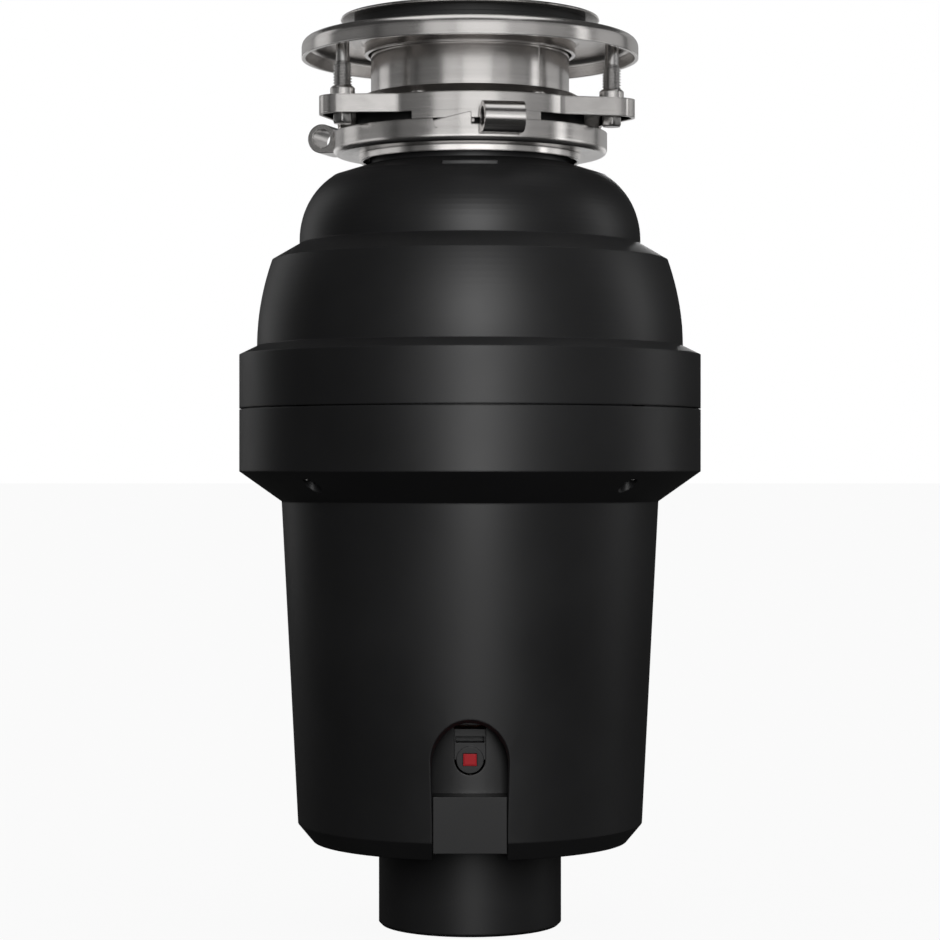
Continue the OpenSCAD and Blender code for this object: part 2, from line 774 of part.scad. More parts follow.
// flanged tube that bends from +Y to -Z
module discharge_elbow() {
    straight = 7;
    color([0.08, 0.08, 0.085]) translate([0, elbow_start, z_outlet]) {
        rotate([-90, 0, 0]) pipe(outlet_r, outlet_in_r, straight);
        rotate([-90, 0, 0]) pipe(outlet_r + 3, outlet_r, elbow_flange_t);
        translate([0, straight, -bend_r]) rotate([0, 90, 0]) rotate([0, 0, 90])
            rotate_extrude(angle = 90) translate([bend_r, 0]) difference() {
                circle(r = outlet_r);
                circle(r = outlet_in_r);
            }
        translate([0, straight + bend_r, -bend_r - elbow_drop])
            pipe(outlet_r, outlet_in_r, elbow_drop);
    }
}

module discharge_clamp() {
    color("silver") translate([0, elbow_start + elbow_flange_t, z_outlet]) difference() {
        link_plate(outlet_r + 3.5, 8, clamp_pitch, clamp_plate_t);
        y_rod(outlet_r + 0.2, -cut, 10);
        for (side = [-1, 1]) translate([side * clamp_pitch, 0, 0])
            y_rod(clamp_screw_r + 0.3, -cut, 10);
    }
}

module discharge_screws() {
    head_h = 4;
    reach = elbow_start + elbow_flange_t + clamp_plate_t;
    color("silver") for (side = [-1, 1]) translate([side * clamp_pitch, reach, z_outlet])
        rotate([90, 0, 0]) screw_up(5, head_h, clamp_screw_r, reach - outlet_face + 11, 2);
}

module dishwasher_spigot() {
    color([0.08, 0.08, 0.085]) clock(spigot_clock) translate([0, 0, z_spigot]) rotate([90, 0, 0])
        difference() {
            union() {
                translate([0, 0, chamber_r + 2]) cylinder(r = spigot_r, h = spigot_seat + 24 - chamber_r - 2);
                translate([0, 0, spigot_seat + 0.8]) cylinder(r = spigot_r + 4, h = 3, $fn = 6);
            }
            translate([0, 0, chamber_r - cut]) cylinder(r = spigot_r - spigot_wall, h = band_r);
        }
}

module spigot_plug() {
    color([0.08, 0.08, 0.085]) clock(spigot_clock) translate([0, 0, z_spigot]) rotate([90, 0, 0])
        translate([0, 0, chamber_r + 3]) difference() {
            cylinder(r = spigot_r - spigot_wall, h = 5);
            translate([0, 0, 2]) cylinder(r = spigot_r - spigot_wall - 1.6, h = 5);
        }
}

module turntable() {
    holes = 8;
    color("gainsboro") difference() {
        union() {
            translate([0, 0, z_table]) cylinder(r = table_r, h = table_t);
            translate([0, 0, z_hub_top + 2]) cylinder(r = shaft_r + 8, h = z_table - z_hub_top - 2 + eps);
            for (i = [0:1]) rotate([0, 0, 90 + 180 * i]) translate([table_r - 9, -3, table_top - eps])
                cube([7, 6, 6]);
        }
        translate([0, 0, z_hub_top]) cylinder(r = shaft_r, h = 60);
        for (i = [0:holes - 1]) rotate([0, 0, 22.5 + i * 360 / holes])
            translate([table_r - 10, 0, z_table - cut]) cylinder(r = 2.5, h = table_t + 2 * cut);
        for (side = [-1, 1]) translate([side * pivot_r, 0, z_table - cut])
            cylinder(r = pin_r, h = table_t + 2 * cut);
    }
}

module hub_washer() {
    color("silver") translate([0, 0, table_top]) pipe(shaft_r + 4, shaft_r - 1, washer_t);
}

module hub_nut() {
    color("silver") translate([0, 0, table_top + washer_t]) difference() {
        cylinder(r = shaft_r + 3.8, h = hub_nut_h, $fn = 6);
        translate([0, 0, -cut]) cylinder(r = shaft_r - 1, h = hub_nut_h + 2 * cut);
    }
}

// riveted pins that hold the two impellers on the turntable
module impeller_pins() {
    head_t = 2;
    reach = table_t + 2 * impeller_gap + impeller_t;
    color("silver") for (side = [-1, 1]) translate([side * pivot_r, 0, z_table]) {
        cylinder(r = pin_r, h = reach + head_t);
        translate([0, 0, reach]) cylinder(r = pin_r + 2.5, h = head_t);
    }
}

// swivelling impeller: a link plate with a raised lug at its free end
module impeller(side) {
    root_r = 8.6;
    tip_r = 6;
    color("silver") translate([side * pivot_r, 0, table_top + impeller_gap]) difference() {
        union() {
            cylinder(r = root_r, h = impeller_t);
            translate([side > 0 ? 0 : -impeller_reach, -tip_r, 0])
                cube([impeller_reach, 2 * tip_r, impeller_t]);
            translate([side * impeller_reach, 0, 0]) cylinder(r = tip_r, h = 13);
        }
        translate([0, 0, -cut]) cylinder(r = pin_r + running_gap, h = impeller_t + 2 * cut);
    }
}

module impeller_right() { impeller(1); }
module impeller_left() { impeller(-1); }

// ---------- lock ring and splash guard ----------

retainer_t = 2;
retainer_z = lock_floor + sheet + 0.5;
groove_d = 0.9;
module ring_retainer() {
    color("silver") translate([0, 0, retainer_z]) pipe(neck_r + 10, neck_r - groove_d, retainer_t);
}

module splash_guard() {
    flaps = 8;
    guard_r = neck_r + 7;
    seat_r = sleeve_in_r - 4;
    flap_t = 1.6;
    color([0.07, 0.07, 0.07]) difference() {
        rotate_extrude() polygon([
            [neck_r, z_guard], [guard_r, z_guard], [guard_r, z_guard + 14],
            [sleeve_r + 0.3, z_guard + 14], [sleeve_r + 0.3, z_sleeve],
            [seat_r, z_sleeve], [6, z_sleeve - 5], [6, z_sleeve - 5 - flap_t],
            [seat_r, z_guard_seat], [neck_r, z_guard_seat]]);
        for (i = [0:flaps - 1]) rotate([0, 0, (i + 0.5) * 360 / flaps])
            translate([5, -0.5, z_guard_seat - 12]) cube([seat_r - 8, 1, 24]);
    }
}

ramp_from = -10.2;
ramp_to = 0.6;
ramp_rise = 2.7;
ramp_slot = 4.2;
ramp_step = 0.2;
stop_depth = 2.6;
latch_clock = 1;
latch_r = 0.9;

// what is cut away above the lock ring's wall: all but the ramp that slopes up to its stop
module above_lock_wall() {
    ramp_len = lock_r * (sin(ramp_to) - sin(ramp_from));
    ring_arc(lock_in_r - 2, lock_r + 2, z_lock_top, z_lock_top + ramp_rise + 1,
        ramp_to + ramp_slot - 1, 120 + ramp_from);
    translate([lock_r * sin(ramp_from), -lock_r - 2, z_lock_top + ramp_step])
        rotate([0, -atan(ramp_rise / ramp_len), 0])
            translate([-5, 0, 0]) cube([ramp_len + 10, 6, 10]);
}

module lock_ring() {
    bend = 2.4;
    lip_drop = 2.8;
    inner_bend = bend - (lock_r - lock_in_r);
    floor_top = lock_floor + sheet;
    wall_top = z_lock_top + ramp_rise;
    color("silver") {
        difference() {
            rotate_extrude() polygon(concat(
                [[lock_in_r, wall_top]],
                [for (a = [0:15:90]) [lock_in_r - inner_bend * (1 - cos(a)),
                    floor_top + inner_bend * (1 - sin(a))]],
                [[lock_lip_r + 0.8, floor_top], [lock_lip_r, floor_top - 0.8]],
                [[lock_lip_r, lock_floor - lip_drop], [lock_lip_r + 1.4, lock_floor - lip_drop]],
                [[lock_lip_r + sheet, lock_floor]],
                [for (a = [90:-15:0]) [lock_r - bend * (1 - cos(a)),
                    lock_floor + bend * (1 - sin(a))]],
                [[lock_r, wall_top]]));
            for (k = [0:2]) clock(120 * k) {
                ring_arc(lock_in_r - 1, lock_r + 1, z_lock_top - stop_depth, wall_top + 1,
                    ramp_to, ramp_to + ramp_slot);
                above_lock_wall();
            }
        }
        for (k = [0:2]) clock(120 * k) {
            clock(lug_clock) rolled_lug();
            clock(latch_clock) translate([0, 0, latch_slot_top - latch_slot_h / 2])
                y_rod(latch_r, -lock_in_r - 1, lock_in_r + 1 - ring_r + sheet + 0.4);
        }
    }
}

// rolled tube for the twisting bar, with the web that joins it to the wall
module rolled_lug() {
    web_t = 4;
    difference() {
        union() {
            translate([-lug_len / 2, -lug_centre_r, z_lug]) rotate([0, 90, 0])
                cylinder(r = lug_r, h = lug_len);
            translate([-lug_len / 2, -lug_centre_r, z_lug - lug_r])
                cube([lug_len, lug_centre_r - lock_r + 1.2, web_t]);
        }
        translate([-lug_len / 2 - cut, -lug_centre_r, z_lug]) rotate([0, 90, 0])
            cylinder(r = lug_bore_r, h = lug_len + 2 * cut);
        cylinder(r = lock_in_r + 0.5, h = z_lug + 30);
    }
}

// ---------- mounting ring ----------

// concave fillet where an ear's side meets the ring; its arc cuts in by a hair, so it crosses both
module ear_fillet_shape(side_r, round_r, fillet) {
    reach = sqrt(pow(round_r + fillet, 2) - pow(side_r + fillet, 2));
    touch = (round_r - 1) / (round_r + fillet);
    difference() {
        polygon([
            [sqrt(round_r * round_r - side_r * side_r) - 2, side_r - 1],
            [reach, side_r - 1], [reach, side_r + fillet],
            [reach * touch, (side_r + fillet) * touch]]);
        translate([reach, side_r + fillet]) circle(r = fillet + fillet_bite);
    }
}

// outline of the ring and its ears, moved in by t; the ears point to -Y before they are turned
module ring_outline(t) {
    tilt = acos((ear_root_r - ear_r) / screw_circle_r);
    circle(r = ring_r - t);
    for (a = ear_clocks) rotate(a) {
        translate([0, -screw_circle_r]) circle(r = ear_r - t);
        for (side = [0:1]) mirror([side, 0]) rotate(tilt) {
            straight = sqrt(pow(screw_circle_r, 2) - pow(ear_root_r - ear_r, 2));
            polygon([[0, 0], [0, -ear_root_r + t], [-straight, -ear_root_r + t],
                [-straight, -ear_root_r + ear_r]]);
            mirror([1, 0]) mirror([0, 1]) ear_fillet_shape(ear_root_r - t, ring_r - t, ear_fillet + t);
        }
    }
}

module ear_boss() {
    rotate_extrude() polygon([
        [0, -sheet / 2], [boss_r, -sheet / 2], [boss_r, boss_h - boss_bevel],
        [boss_r - boss_bevel, boss_h], [0, boss_h]]);
}

module mounting_ring() {
    hollow_r = ring_r - sheet;
    color("silver") difference() {
        union() {
            difference() {
                translate([0, 0, z_ring]) linear_extrude(ring_wall_h) ring_outline(0);
                translate([0, 0, z_ring - cut]) linear_extrude(ring_wall_h - sheet + cut)
                    ring_outline(sheet);
                cylinder(r = ring_r - 4, h = z_ring_top + cut);
            }
            rotate_extrude() polygon([
                [sleeve_r + 0.5, z_collar_top - sheet], [collar_r, z_collar_top - sheet],
                [ring_r - 3, z_ring_top - 0.7 * sheet], [ring_r - 2, z_ring_top - 0.3],
                [collar_r, z_collar_top], [sleeve_r + 0.5, z_collar_top]]);
            for (k = [0:2]) ring_arc(hollow_r - skirt_joggle, ring_r - skirt_joggle,
                z_lock_top - skirt_drop, z_ring + 2, skirt_from + 120 * k, skirt_to + 120 * k);
            for (a = ear_clocks) clock(a) translate([0, -screw_circle_r, z_ring_top]) ear_boss();
        }
        for (k = [0:2]) ring_arc(hollow_r - cut, ring_r + cut, latch_slot_top - latch_slot_h,
            latch_slot_top, skirt_from - 1 + 120 * k, latch_clock + 3 + 120 * k);
        for (a = ear_clocks) clock(a) translate([0, -screw_circle_r, z_ring])
            cylinder(r = screw_r + running_gap, h = 30);
    }
}

module snap_ring() {
    color("silver") translate([0, 0, z_snap]) difference() {
        pipe(sleeve_r + 2.6, sleeve_r - 0.8, snap_t);
        clock(90) translate([-4, -sleeve_r - 5, -cut]) cube([8, 8, snap_t + 2 * cut]);
    }
}

// clamp screw with a hexagon head below, a ridged thread and a plain tip
module clamp_screw(angle) {
    ridges = floor((z_thread_top - z_screw - screw_head_h) / thread_pitch);
    z_thread = z_thread_top - ridges * thread_pitch;
    tip_z = z_backup - sheet - touch_gap;
    color("silver") clock(angle) translate([0, -screw_circle_r, 0]) {
        translate([0, 0, z_screw]) cylinder(r = screw_head_r, h = screw_head_h, $fn = 6);
        rotate_extrude() polygon(concat(
            [[0, z_screw + 1], [screw_r - thread_depth, z_screw + 1]],
            [for (i = [0:ridges - 1]) each [
                [screw_r - thread_depth, z_thread + i * thread_pitch],
                [screw_r, z_thread + (i + 0.45) * thread_pitch],
                [screw_r, z_thread + (i + 0.55) * thread_pitch]]],
            [[dog_r, z_thread_top], [dog_r, tip_z - 0.6], [dog_r - 0.6, tip_z], [0, tip_z]]));
    }
}

module clamp_screw_right() { clamp_screw(ear_clocks[0]); }
module clamp_screw_left() { clamp_screw(ear_clocks[1]); }
module clamp_screw_back() { clamp_screw(ear_clocks[2]); }

// ---------- sink side ----------

module backup_flange() {
    collar_drop = 7.2;
    in_r = sleeve_r + 1.2;
    bend = 1.4;
    color("silver") rotate_extrude() polygon(concat(
        [[backup_r - sheet, z_backup_rim], [backup_r, z_backup_rim]],
        [for (a = [0:15:90]) [backup_r - backup_round * (1 - cos(a)),
            z_backup - backup_round * (1 - sin(a))]],
        [[in_r + bend + sheet * 0.5, z_backup], [in_r, z_backup - bend]],
        [[in_r, z_backup - collar_drop], [in_r + sheet, z_backup - collar_drop]],
        [[in_r + sheet, z_backup - bend - sheet * 0.5], [in_r + 2 * sheet, z_backup - sheet]],
        [for (a = [90:-15:0]) [backup_r - backup_round + (backup_round - sheet) * cos(a),
            z_backup - backup_round + (backup_round - sheet) * sin(a)]]));
}

module lower_gasket() {
    color([0.05, 0.05, 0.05]) translate([0, 0, z_backup])
        pipe(gasket_r, sleeve_r + 0.3, lower_gasket_h);
}

module upper_gasket() {
    color([0.02, 0.02, 0.02]) translate([0, 0, z_rim - upper_gasket_h])
        pipe(gasket_r, sleeve_r, upper_gasket_h);
}

// sink flange: rim with a soft edge, dished throat, straight sleeve and the snap ring's groove
module sink_flange() {
    rim_r = sink_flange_d / 2;
    rim_t = 1.4;
    dish = 5;
    color("silver") rotate_extrude() polygon(concat(
        [[sleeve_in_r, z_sleeve], [sleeve_r, z_sleeve], [sleeve_r, z_snap],
            [sleeve_r - 0.8, z_snap], [sleeve_r - 0.8, z_snap + snap_t], [sleeve_r, z_snap + snap_t]],
        [[sleeve_r, z_rim], [rim_r - 0.3, z_rim], [rim_r, z_rim + 0.3]],
        [[rim_r - 0.4, z_rim + rim_t - 0.3], [rim_r - 1.6, z_rim + rim_t]],
        [for (a = [90:15:180]) [sleeve_in_r + dish + dish * cos(a),
            z_rim + rim_t - 0.3 - dish + dish * sin(a)]]));
}

base_cup();
base_screws();
lower_cover();
upper_cover();
cover_screws();
motor_housing();
lower_end_frame();
upper_end_frame();
stator_core();
stator_windings();
through_bolts();
lower_bearing();
upper_bearing();
shaft_seal();
motor_insulation();
upper_insulation();
terminal_block();
overload_protector();
reset_button();
cable_inlet_bush();
discharge_chamber();
chamber_gasket();
hopper();
chamber_bolts();
shredder_ring();
discharge_gasket();
discharge_elbow();
discharge_clamp();
discharge_screws();
dishwasher_spigot();
spigot_plug();
shaft();
rotor_core();
bearing_inner_rings();
turntable();
hub_washer();
hub_nut();
impeller_pins();
impeller_right();
impeller_left();
ring_retainer();
splash_guard();
lock_ring();
mounting_ring();
snap_ring();
clamp_screw_right();
clamp_screw_left();
clamp_screw_back();
backup_flange();
lower_gasket();
upper_gasket();
sink_flange();
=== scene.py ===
import math

import bmesh
import bpy
from mathutils import Matrix, Vector


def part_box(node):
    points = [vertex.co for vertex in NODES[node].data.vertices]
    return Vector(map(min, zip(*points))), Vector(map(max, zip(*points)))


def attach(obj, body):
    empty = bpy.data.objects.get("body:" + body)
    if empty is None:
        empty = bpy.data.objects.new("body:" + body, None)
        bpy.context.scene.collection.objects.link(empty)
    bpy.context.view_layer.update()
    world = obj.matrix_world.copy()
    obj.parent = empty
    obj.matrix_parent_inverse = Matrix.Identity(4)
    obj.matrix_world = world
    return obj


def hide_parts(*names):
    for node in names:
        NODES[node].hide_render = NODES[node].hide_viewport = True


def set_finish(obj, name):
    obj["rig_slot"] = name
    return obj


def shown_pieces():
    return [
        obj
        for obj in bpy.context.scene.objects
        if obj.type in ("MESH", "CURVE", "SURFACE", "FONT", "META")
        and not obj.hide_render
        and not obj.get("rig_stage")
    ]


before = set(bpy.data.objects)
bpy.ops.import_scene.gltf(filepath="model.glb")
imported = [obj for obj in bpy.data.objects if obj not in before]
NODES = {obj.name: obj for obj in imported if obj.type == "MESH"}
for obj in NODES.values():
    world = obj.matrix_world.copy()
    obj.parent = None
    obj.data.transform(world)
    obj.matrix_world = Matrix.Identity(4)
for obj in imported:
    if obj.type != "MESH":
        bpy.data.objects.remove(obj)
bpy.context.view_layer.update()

bl_info = {
    "name": "Garbage disposal dresser",
    "version": (1, 0, 0),
    "blender": (4, 5, 0),
    "location": "3D View > Sidebar > Disposer",
    "description": "Finishes, threaded hardware and a plain studio for the kitchen garbage disposal",
    "category": "Object",
}

STEEL_SLOT = "polished_steel"
WHITE = (1.0, 1.0, 1.0, 1.0)
THIRDS = (0.0, 120.0, 240.0)
SCREW_BODIES = {
    "clamp_screw_right": "clamp_screw_right",
    "clamp_screw_left": "clamp_screw_left",
    "clamp_screw_back": "clamp_screw_back",
}


# ---------- shader node helpers ----------

def plug(tree, source, target):
    tree.links.new(source, target)


def node(tree, kind, settings=None, **inputs):
    """Adds a node; settings are its attributes, inputs its sockets by name with _ for a space."""
    made = tree.nodes.new(kind)
    for key, value in (settings or {}).items():
        setattr(made, key, value)
    for key, value in inputs.items():
        socket = made.inputs[key.replace("_", " ")]
        if isinstance(value, bpy.types.NodeSocket):
            plug(tree, value, socket)
        else:
            socket.default_value = value
    return made


def maths(tree, operation, first, second=None, third=None, clamp=False):
    made = tree.nodes.new("ShaderNodeMath")
    made.operation, made.use_clamp = operation, clamp
    for socket, value in zip(made.inputs, (first, second, third)):
        if isinstance(value, bpy.types.NodeSocket):
            plug(tree, value, socket)
        elif value is not None:
            socket.default_value = value
    return made.outputs[0]


def start_group(name, inputs, outputs):
    """A shader node group with named sockets; returns it with its input and output nodes."""
    tree = bpy.data.node_groups.new(name, "ShaderNodeTree")
    for label, kind, default in inputs:
        socket = tree.interface.new_socket(name=label, in_out="INPUT", socket_type=kind)
        socket.default_value = default
    for label, kind in outputs:
        tree.interface.new_socket(name=label, in_out="OUTPUT", socket_type=kind)
    return tree, tree.nodes.new("NodeGroupInput"), tree.nodes.new("NodeGroupOutput")


def use_group(tree, name, **values):
    made = tree.nodes.new("ShaderNodeGroup")
    made.node_tree = bpy.data.node_groups[name]
    for key, value in values.items():
        socket = made.inputs[key.replace("_", " ")]
        if isinstance(value, bpy.types.NodeSocket):
            plug(tree, value, socket)
        else:
            socket.default_value = value
    return made


def object_place(tree):
    return tree.nodes.new("ShaderNodeTexCoord").outputs["Object"]


def build_soft_edges():
    """Rounds the shading of sharp edges and says where they are."""
    tree, inp, out = start_group(
        "soft_edges",
        [("Radius", "NodeSocketFloat", 0.0006), ("Sharpness", "NodeSocketFloat", 6.0)],
        [("Normal", "NodeSocketVector"), ("Edge", "NodeSocketFloat")])
    rounded = node(tree, "ShaderNodeBevel", {"samples": 4}, Radius=inp.outputs["Radius"])
    flat = tree.nodes.new("ShaderNodeNewGeometry")
    dot = tree.nodes.new("ShaderNodeVectorMath")
    dot.operation = "DOT_PRODUCT"
    plug(tree, rounded.outputs["Normal"], dot.inputs[0])
    plug(tree, flat.outputs["Normal"], dot.inputs[1])
    turned = maths(tree, "SUBTRACT", 1.0, dot.outputs["Value"])
    plug(tree, maths(tree, "MULTIPLY", turned, inp.outputs["Sharpness"], clamp=True), out.inputs["Edge"])
    plug(tree, rounded.outputs["Normal"], out.inputs["Normal"])


def build_moulded_grain():
    """Fine spark-eroded grain of a moulded surface, with a slow change of tone."""
    tree, inp, out = start_group(
        "moulded_grain",
        [("Scale", "NodeSocketFloat", 2200.0), ("Drift Scale", "NodeSocketFloat", 14.0)],
        [("Height", "NodeSocketFloat"), ("Tone", "NodeSocketFloat")])
    place = object_place(tree)
    scale = inp.outputs["Scale"]
    drift = inp.outputs["Drift Scale"]
    fine = node(tree, "ShaderNodeTexNoise", None, Vector=place, Scale=scale, Detail=3.0, Roughness=0.6)
    cells = node(tree, "ShaderNodeTexVoronoi", {"feature": "SMOOTH_F1"}, Vector=place, Scale=scale)
    slow = node(tree, "ShaderNodeTexNoise", None, Vector=place, Scale=drift, Detail=4.0)
    both = maths(tree, "MULTIPLY_ADD", cells.outputs["Distance"], 0.5, fine.outputs["Fac"])
    plug(tree, both, out.inputs["Height"])
    plug(tree, slow.outputs["Fac"], out.inputs["Tone"])


def build_turned_lines():
    """Fine lines that run round the upright axis, as left by turning and polishing."""
    tree, inp, out = start_group(
        "turned_lines",
        [("Scale", "NodeSocketFloat", 1800.0)],
        [("Height", "NodeSocketFloat"), ("Tone", "NodeSocketFloat"), ("Smudge", "NodeSocketFloat")])
    place = object_place(tree)
    parts = node(tree, "ShaderNodeSeparateXYZ", None, Vector=place)
    flat = tree.nodes.new("ShaderNodeCombineXYZ")
    plug(tree, parts.outputs["X"], flat.inputs["X"])
    plug(tree, parts.outputs["Y"], flat.inputs["Y"])
    radius = tree.nodes.new("ShaderNodeVectorMath")
    radius.operation = "LENGTH"
    plug(tree, flat.outputs[0], radius.inputs[0])
    scale = inp.outputs["Scale"]
    turned = tree.nodes.new("ShaderNodeCombineXYZ")
    plug(tree, maths(tree, "MULTIPLY", radius.outputs["Value"], scale), turned.inputs["X"])
    plug(tree, maths(tree, "MULTIPLY", parts.outputs["Z"], scale), turned.inputs["Y"])
    plug(tree, maths(tree, "MULTIPLY", parts.outputs["X"], 30.0), turned.inputs["Z"])
    lines = node(tree, "ShaderNodeTexNoise", None, Vector=turned.outputs[0], Scale=1.0, Detail=3.0)
    bands = node(tree, "ShaderNodeTexNoise", None, Vector=turned.outputs[0], Scale=0.12, Detail=2.0)
    smudge = node(tree, "ShaderNodeTexNoise", None, Vector=place, Scale=38.0, Detail=6.0, Roughness=0.65)
    plug(tree, lines.outputs["Fac"], out.inputs["Height"])
    plug(tree, bands.outputs["Fac"], out.inputs["Tone"])
    plug(tree, smudge.outputs["Fac"], out.inputs["Smudge"])


def build_stacked_lines():
    """Thin level lines, one for each sheet or turn of wire in a stack."""
    tree, inp, out = start_group(
        "stacked_lines",
        [("Pitch", "NodeSocketFloat", 0.0006)],
        [("Height", "NodeSocketFloat"), ("Gap", "NodeSocketFloat")])
    parts = node(tree, "ShaderNodeSeparateXYZ", None, Vector=object_place(tree))
    turns = maths(tree, "DIVIDE", parts.outputs["Z"], inp.outputs["Pitch"])
    phase = maths(tree, "FRACT", turns)
    hump = maths(tree, "SINE", maths(tree, "MULTIPLY", phase, math.pi))
    plug(tree, hump, out.inputs["Height"])
    plug(tree, maths(tree, "LESS_THAN", hump, 0.35), out.inputs["Gap"])


# ---------- finishes ----------

def blend(tree, factor, first, second):
    """Mixes two colours, each given as a socket or as red, green and blue."""
    mix = tree.nodes.new("ShaderNodeMix")
    mix.data_type = "RGBA"
    plug(tree, factor, mix.inputs["Factor"])
    for socket, value in ((mix.inputs["A"], first), (mix.inputs["B"], second)):
        if isinstance(value, bpy.types.NodeSocket):
            plug(tree, value, socket)
        else:
            socket.default_value = (*value, 1.0)
    return mix.outputs["Result"]


def spread(tree, value, low, high):
    """Maps a noise value, which seldom leaves 0.3 to 0.7, to low to high."""
    made = node(tree, "ShaderNodeMapRange", None, Value=value)
    made.inputs["From Min"].default_value = 0.3
    made.inputs["From Max"].default_value = 0.7
    made.inputs["To Min"].default_value = low
    made.inputs["To Max"].default_value = high
    return made.outputs["Result"]


def new_finish(name):
    """A new material with its node tree and its shader."""
    material = bpy.data.materials.new(name)
    material.use_nodes = True
    tree = material.node_tree
    return material, tree, tree.nodes["Principled BSDF"]


def finish_with_bump(tree, shader, height, edges, depth):
    """Adds the fine surface relief over the rounded edges; depth is in metres."""
    bump = node(tree, "ShaderNodeBump", None, Height=height, Normal=edges.outputs["Normal"])
    bump.inputs["Strength"].default_value = 1.0
    bump.inputs["Distance"].default_value = depth
    plug(tree, bump.outputs["Normal"], shader.inputs["Normal"])


def plastic(name, colour, edge_sheen_and_tone, rough, grain=2200.0, depth=0.000012, edge=0.0006, specular=0.5):
    """A moulded plastic, rubber or painted surface."""
    material, tree, shader = new_finish(name)
    soft = use_group(tree, "soft_edges", Radius=edge)
    skin = use_group(tree, "moulded_grain", Scale=grain)
    tone = spread(tree, skin.outputs["Tone"], 0.0, 0.35)
    # Painted highlight: where the Edge mask is high, along sharp edges, the colour goes to the paler tone
    # to stand in for the light the edges catch. Elsewhere the mask follows the slow random tone of the
    # moulding.
    sheen_and_tone_mask = maths(tree, "MAXIMUM", tone, maths(tree, "MULTIPLY", soft.outputs["Edge"], 0.7))
    plug(tree, blend(tree, sheen_and_tone_mask, colour, edge_sheen_and_tone), shader.inputs["Base Color"])
    plug(tree, spread(tree, skin.outputs["Tone"], rough[0], rough[1]), shader.inputs["Roughness"])
    shader.inputs["Specular IOR Level"].default_value = specular
    finish_with_bump(tree, shader, skin.outputs["Height"], soft, depth)
    return material


def steel(name, colour, dull, rough, lines=1800.0, depth=0.000004, edge=0.0009):
    """A bare metal surface with turning lines and faint handling marks."""
    material, tree, shader = new_finish(name)
    soft = use_group(tree, "soft_edges", Radius=edge)
    turned = use_group(tree, "turned_lines", Scale=lines)
    tone = spread(tree, turned.outputs["Tone"], 0.0, 0.5)
    plug(tree, blend(tree, tone, colour, dull), shader.inputs["Base Color"])
    marks = maths(tree, "MULTIPLY_ADD", turned.outputs["Smudge"], 0.5,
                  maths(tree, "MULTIPLY", turned.outputs["Height"], 0.5))
    plug(tree, spread(tree, marks, rough[0], rough[1]), shader.inputs["Roughness"])
    shader.inputs["Metallic"].default_value = 1.0
    finish_with_bump(tree, shader, turned.outputs["Height"], soft, depth)
    return material


def stacked(name, colour, gap, rough, pitch, metallic, depth):
    """A stack of sheets or turns of wire."""
    material, tree, shader = new_finish(name)
    soft = use_group(tree, "soft_edges", Radius=0.0004)
    stack = use_group(tree, "stacked_lines", Pitch=pitch)
    skin = use_group(tree, "moulded_grain", Scale=900.0)
    plug(tree, blend(tree, stack.outputs["Gap"], colour, gap), shader.inputs["Base Color"])
    plug(tree, spread(tree, skin.outputs["Tone"], rough[0], rough[1]), shader.inputs["Roughness"])
    shader.inputs["Metallic"].default_value = metallic
    finish_with_bump(tree, shader, stack.outputs["Height"], soft, depth)
    return material


METAL_SLOTS = {"polished_steel", "screw_steel", "cast_aluminium", "lamination", "copper_winding"}

SLOT_OF = {
    "cover_plastic": ["base_cup", "lower_cover", "upper_cover"],
    "recess_plastic": ["overload_protector", "terminal_block", "cable_inlet_bush"],
    "button_red": ["reset_button"],
    "screw_steel": ["base_screws", "cover_screws", "through_bolts", "chamber_bolts",
                    "discharge_screws", "hub_nut", "hub_washer", "clamp_screw_right",
                    "clamp_screw_left", "clamp_screw_back"],
    "polished_steel": ["shredder_ring", "shaft", "turntable", "impeller_pins", "impeller_right",
                       "impeller_left", "lower_bearing", "upper_bearing", "bearing_inner_rings",
                       "lock_ring", "mounting_ring", "snap_ring", "backup_flange",
                       "sink_flange", "discharge_clamp"],
    "cast_aluminium": ["lower_end_frame", "upper_end_frame"],
    "chamber_plastic": ["discharge_chamber", "hopper", "dishwasher_spigot", "spigot_plug",
                        "discharge_elbow", "ring_retainer"],
    "motor_paint": ["motor_housing"],
    "lamination": ["stator_core", "rotor_core"],
    "copper_winding": ["stator_windings"],
    "black_rubber": ["shaft_seal", "chamber_gasket", "discharge_gasket", "splash_guard",
                     "lower_gasket", "upper_gasket"],
    "foam": ["motor_insulation", "upper_insulation"],
}


